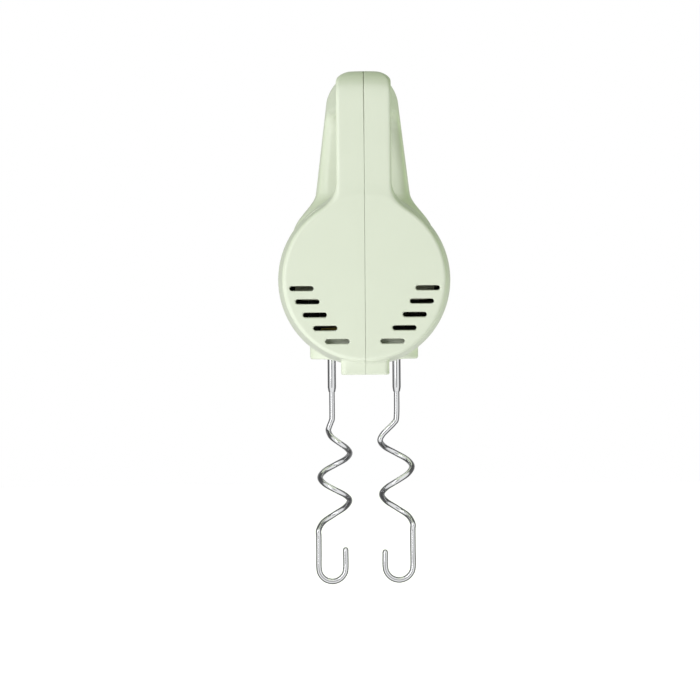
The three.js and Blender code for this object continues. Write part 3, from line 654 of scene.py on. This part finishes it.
def add_casing():
    for name, side in [("left", -1), ("right", 1)]:
        def field(x, y, z, side=side):
            return casing(x, y, z, side)
        layers = math.ceil((BARREL_R + 3) / GRID_STEP)
        seam_layer = layers if side < 0 else 1
        low_x = PARTING_X - (seam_layer + 0.5) * GRID_STEP
        low = (low_x, -1.5, FOOT_Z - 1.5)
        high = (low_x + (layers + 3) * GRID_STEP, LENGTH + 2, TOP_FRONT + 2)
        points, faces, cells, sideways = net(field, low, high, GRID_STEP)
        edge = sideways & (cells[:, 0] == seam_layer)
        rim, rim_normals = settle_on_seam(side, points[edge])
        points, normals = settle(field, points)
        points[edge], normals[edge] = rim, rim_normals
        made = piece(f"casing_{name}_moulding", points, faces, normals)
        dress(made, "mint_casing", "body", f"casing_{name}")


def hook_path(turns, first_swing, end_x, bottom_z, tip_z):
    """Half turns that swing to alternate sides, a straight leg, a half circle and the upturned end."""
    points = [(0, 0, -30), (0, 0, -62)]
    for i, ((x0, z0), (x1, z1)) in enumerate(zip(turns, turns[1:])):
        swing = TURN_R * first_swing * (-1) ** (i + 1) if i else 0
        for k in range(4):
            a = math.pi * k / 4
            x = (x0 + x1) / 2 + (x0 - x1) / 2 * math.cos(a)
            points.append((x, swing * math.sin(a), z0 + (z1 - z0) * k / 4))
    leg_x, leg_z = turns[-1]
    r = abs(end_x - leg_x) / 2
    points += [(leg_x, 0, leg_z), (leg_x, 0, leg_z - 4), (leg_x, 0, (leg_z + bottom_z + r) / 2 - 2)]
    for i in range(7):
        a = math.pi * i / 6
        x = (leg_x + end_x) / 2 + math.copysign(r, leg_x) * math.cos(a)
        points.append((x, 0, bottom_z + r - r * math.sin(a)))
    return smooth_path([*points, (end_x, 0, tip_z)])


def add_hooks():
    for name, side, turns, end in [
        ("left", -1, LEFT_TURNS, (7.4, -174.1, -154 - WIRE_R)),
        ("right", 1, RIGHT_TURNS, (-7.4, -173.5, -155.5 - WIRE_R)),
    ]:
        centre = np.array([side * HOOK_X, HOOK_Y, 0])
        wire = tube(f"hook_{name}_wire", hook_path(turns, side, *end) + centre, WIRE_R, 20)
        dress(wire, "chrome_hooks", f"hook_{name}", f"hook_wire_{name}")
        profile = [
            (WIRE_R + 0.05, -62.9), (1.9, -62.85), (2.05, -62.5), (SLEEVE_R - 0.1, -60.7), (SLEEVE_R, -60.1),
            (SLEEVE_R, 0.6), (SLEEVE_R - 0.2, 1.1), (1.8, 2.1), (0.3, 2.2),
        ]
        sleeve = turned(f"hook_{name}_sleeve", profile, (centre[0], centre[1]))
        fin_layers = [(-34, 0.3), (-33.4, 0), (-26.6, 0), (-26, 0.3)]
        fins = rings_piece("fins", slab_rings(4, 0.6, 0.3, fin_layers, 3))
        fins.location = (centre[0] * MM, centre[1] * MM, 0)
        shaft = merged(f"hook_{name}_shaft", sleeve, fins)
        dress(shaft, "chrome_hooks", f"hook_{name}", f"hook_sleeve_{name}")


def add_controls():
    button = rings_piece("eject_cap", slab_rings(8, 6, 2.5, rounded_layers(110.4, 123.9, 1.6)))
    flange = rings_piece("flange", slab_rings(9.6, 7.4, 3, rounded_layers(115, 116.8, 0.4)))
    for part in (button, flange):
        part.location = (0, HOOK_Y * MM, 0)
    ribs = []
    for k in (-2, 0, 2):
        rib = rings_piece("rib", slab_rings(5.2, 0.45, 0.4, rounded_layers(123.5, 124.4, 0.4, 3), 4))
        rib.location = (0, (HOOK_Y + k) * MM, 0)
        ribs.append(rib)
    dress(merged("eject_button_cap", button, flange, *ribs), "mint_casing", "eject", "eject_button")

    knob = on_top(rings_piece("knob", slab_rings(6.5, 7, 3, rounded_layers(0.3, 1.7, 0.6))), SLIDER_V)
    stem = on_top(rings_piece("stem", slab_rings(2, 3, 0.4, [(-8, 0), (0.6, 0)], 3)), SLIDER_V)
    ridges = []
    for k in (-4.5, -1.5, 1.5, 4.5):
        ridge = rings_piece("ridge", slab_rings(5, 0.55, 0.5, rounded_layers(1.3, 2.2, 0.4, 4), 4))
        ridges.append(on_top(ridge, SLIDER_V + k))
    dress(merged("speed_slider_knob", knob, stem, *ridges), "grey_controls", "slider", "speed_slider")

    profile = [
        (0.2, -5.6), (4.6, -5.6), (4.6, -4), (6.5, -4), (6.5, -2.8), (5.3, -2.8), (5.3, 0.9), (5.15, 1.3),
        (4.8, 1.65), (4.2, 1.85), (3, 1.75), (1.5, 1.6), (0.2, 1.55),
    ]
    dress(on_top(turned("turbo_button_cap", profile), TURBO_V), "grey_controls", "turbo", "turbo_button")


def add_pieces():
    add_casing()
    add_hooks()
    add_controls()


# ---------------------------------------------------------------- stage, light and camera


def add_stage():
    """A white floor that glows a little, so that it runs out into the white background."""
    turns = np.linspace(0, 2 * math.pi, 96, endpoint=False)
    floor_z = CAD_LOW.z / MM - 1.5
    rim = [(1400 * math.cos(a), 70 + 1400 * math.sin(a), floor_z) for a in turns]
    floor = piece("studio_floor", rim, [list(range(96))])
    material, tree, shader, where = nodes_of("studio_floor")
    tree.links.new(mixed(tree, noise(tree, where, 4), (0.5, 0.5, 0.5), (0.54, 0.54, 0.54)),
                   shader.inputs["Base Color"])
    shader.inputs["Roughness"].default_value = 0.9
    shader.inputs["Emission Color"].default_value = (1, 1, 1, 1)
    shader.inputs["Emission Strength"].default_value = 0.9
    floor.data.materials.append(material)
    floor.visible_glossy = False


def add_light(name, place, width, height, power, colour=(1, 1, 1), glossy=False):
    """A soft rectangular light aimed at the mixer, hidden from reflections unless glossy."""
    light = bpy.data.lights.new(name, "AREA")
    light.shape = "RECTANGLE"
    light.size = width
    light.size_y = height
    light.energy = power
    light.color = colour
    made = bpy.data.objects.new(name, light)
    bpy.context.scene.collection.objects.link(made)
    made.visible_glossy = glossy
    made.location = place
    made.rotation_mode = "QUATERNION"
    made.rotation_quaternion = (Vector((0, 0.07, 0)) - Vector(place)).to_track_quat("-Z", "Y")


GREEN_WHITE = (0.75, 1, 0.44)
GLOW = (0.17, 0.225, 0.115)
# Brightness of the studio in reflections, from the wall behind the camera (0) round to the far wall (1).
STUDIO_PANELS = [
    (0.0, 0.3),
    (0.012, 0.36),
    (0.03, 0.95),
    (0.28, 0.9),
    (0.4, 0.14),
    (0.75, 0.08),
    (0.9, 0.32),
    (1.0, 0.36),
]


def add_world():
    """A studio: white to the camera, a soft green-white glow on surfaces, and pale and dark panels
    in reflections."""
    world = bpy.data.worlds.new("studio")
    world.use_nodes = True
    tree = world.node_tree
    background = tree.nodes["Background"]
    coordinates = tree.nodes.new("ShaderNodeTexCoord")
    split = tree.nodes.new("ShaderNodeSeparateXYZ")
    tree.links.new(coordinates.outputs["Generated"], split.inputs[0])
    ramp = tree.nodes.new("ShaderNodeValToRGB")
    for k, (place, level) in enumerate(STUDIO_PANELS):
        stop = ramp.color_ramp.elements[k] if k < 2 else ramp.color_ramp.elements.new(place)
        stop.position = place
        stop.color = (level, level, level, 1)
    tree.links.new(between(tree, split.outputs["Y"], 0, 1, -1, 1), ramp.inputs["Fac"])
    path = tree.nodes.new("ShaderNodeLightPath")
    reflected = mixed(tree, path.outputs["Is Glossy Ray"], GLOW, ramp.outputs["Color"])
    seen = mixed(tree, path.outputs["Is Camera Ray"], reflected, (1, 1, 1))
    tree.links.new(seen, background.inputs["Color"])
    background.inputs["Strength"].default_value = 1.0
    bpy.context.scene.world = world


def add_camera():
    camera = bpy.data.cameras.new("camera")
    camera.sensor_width = 36
    camera.lens = 152.4
    camera.clip_end = 20
    made = bpy.data.objects.new("camera", camera)
    bpy.context.scene.collection.objects.link(made)
    made.location = (-0.0082, -1.6, -0.0383)
    made.rotation_euler = (math.radians(90), math.radians(0.42), 0)
    bpy.context.scene.camera = made


add_pieces()
dress_cad_nodes()
add_stage()
add_light("key", (-1.1, -1.15, 0.5), 0.9, 1.0, 16)
add_light("strip", (-0.8, -1.35, 0.35), 0.18, 1.3, 2.6, glossy=True)
add_light("right_fill", (1.3, 0.95, 0.2), 0.8, 1.0, 10, GREEN_WHITE)
add_light("left_fill", (-1.3, 0.95, 0.2), 0.8, 1.0, 5, GREEN_WHITE)
add_light("top_fill", (0, 0.3, 1.4), 1.0, 1.0, 3, GREEN_WHITE)
add_world()
add_camera()
bpy.context.scene.view_settings.view_transform = "Standard"
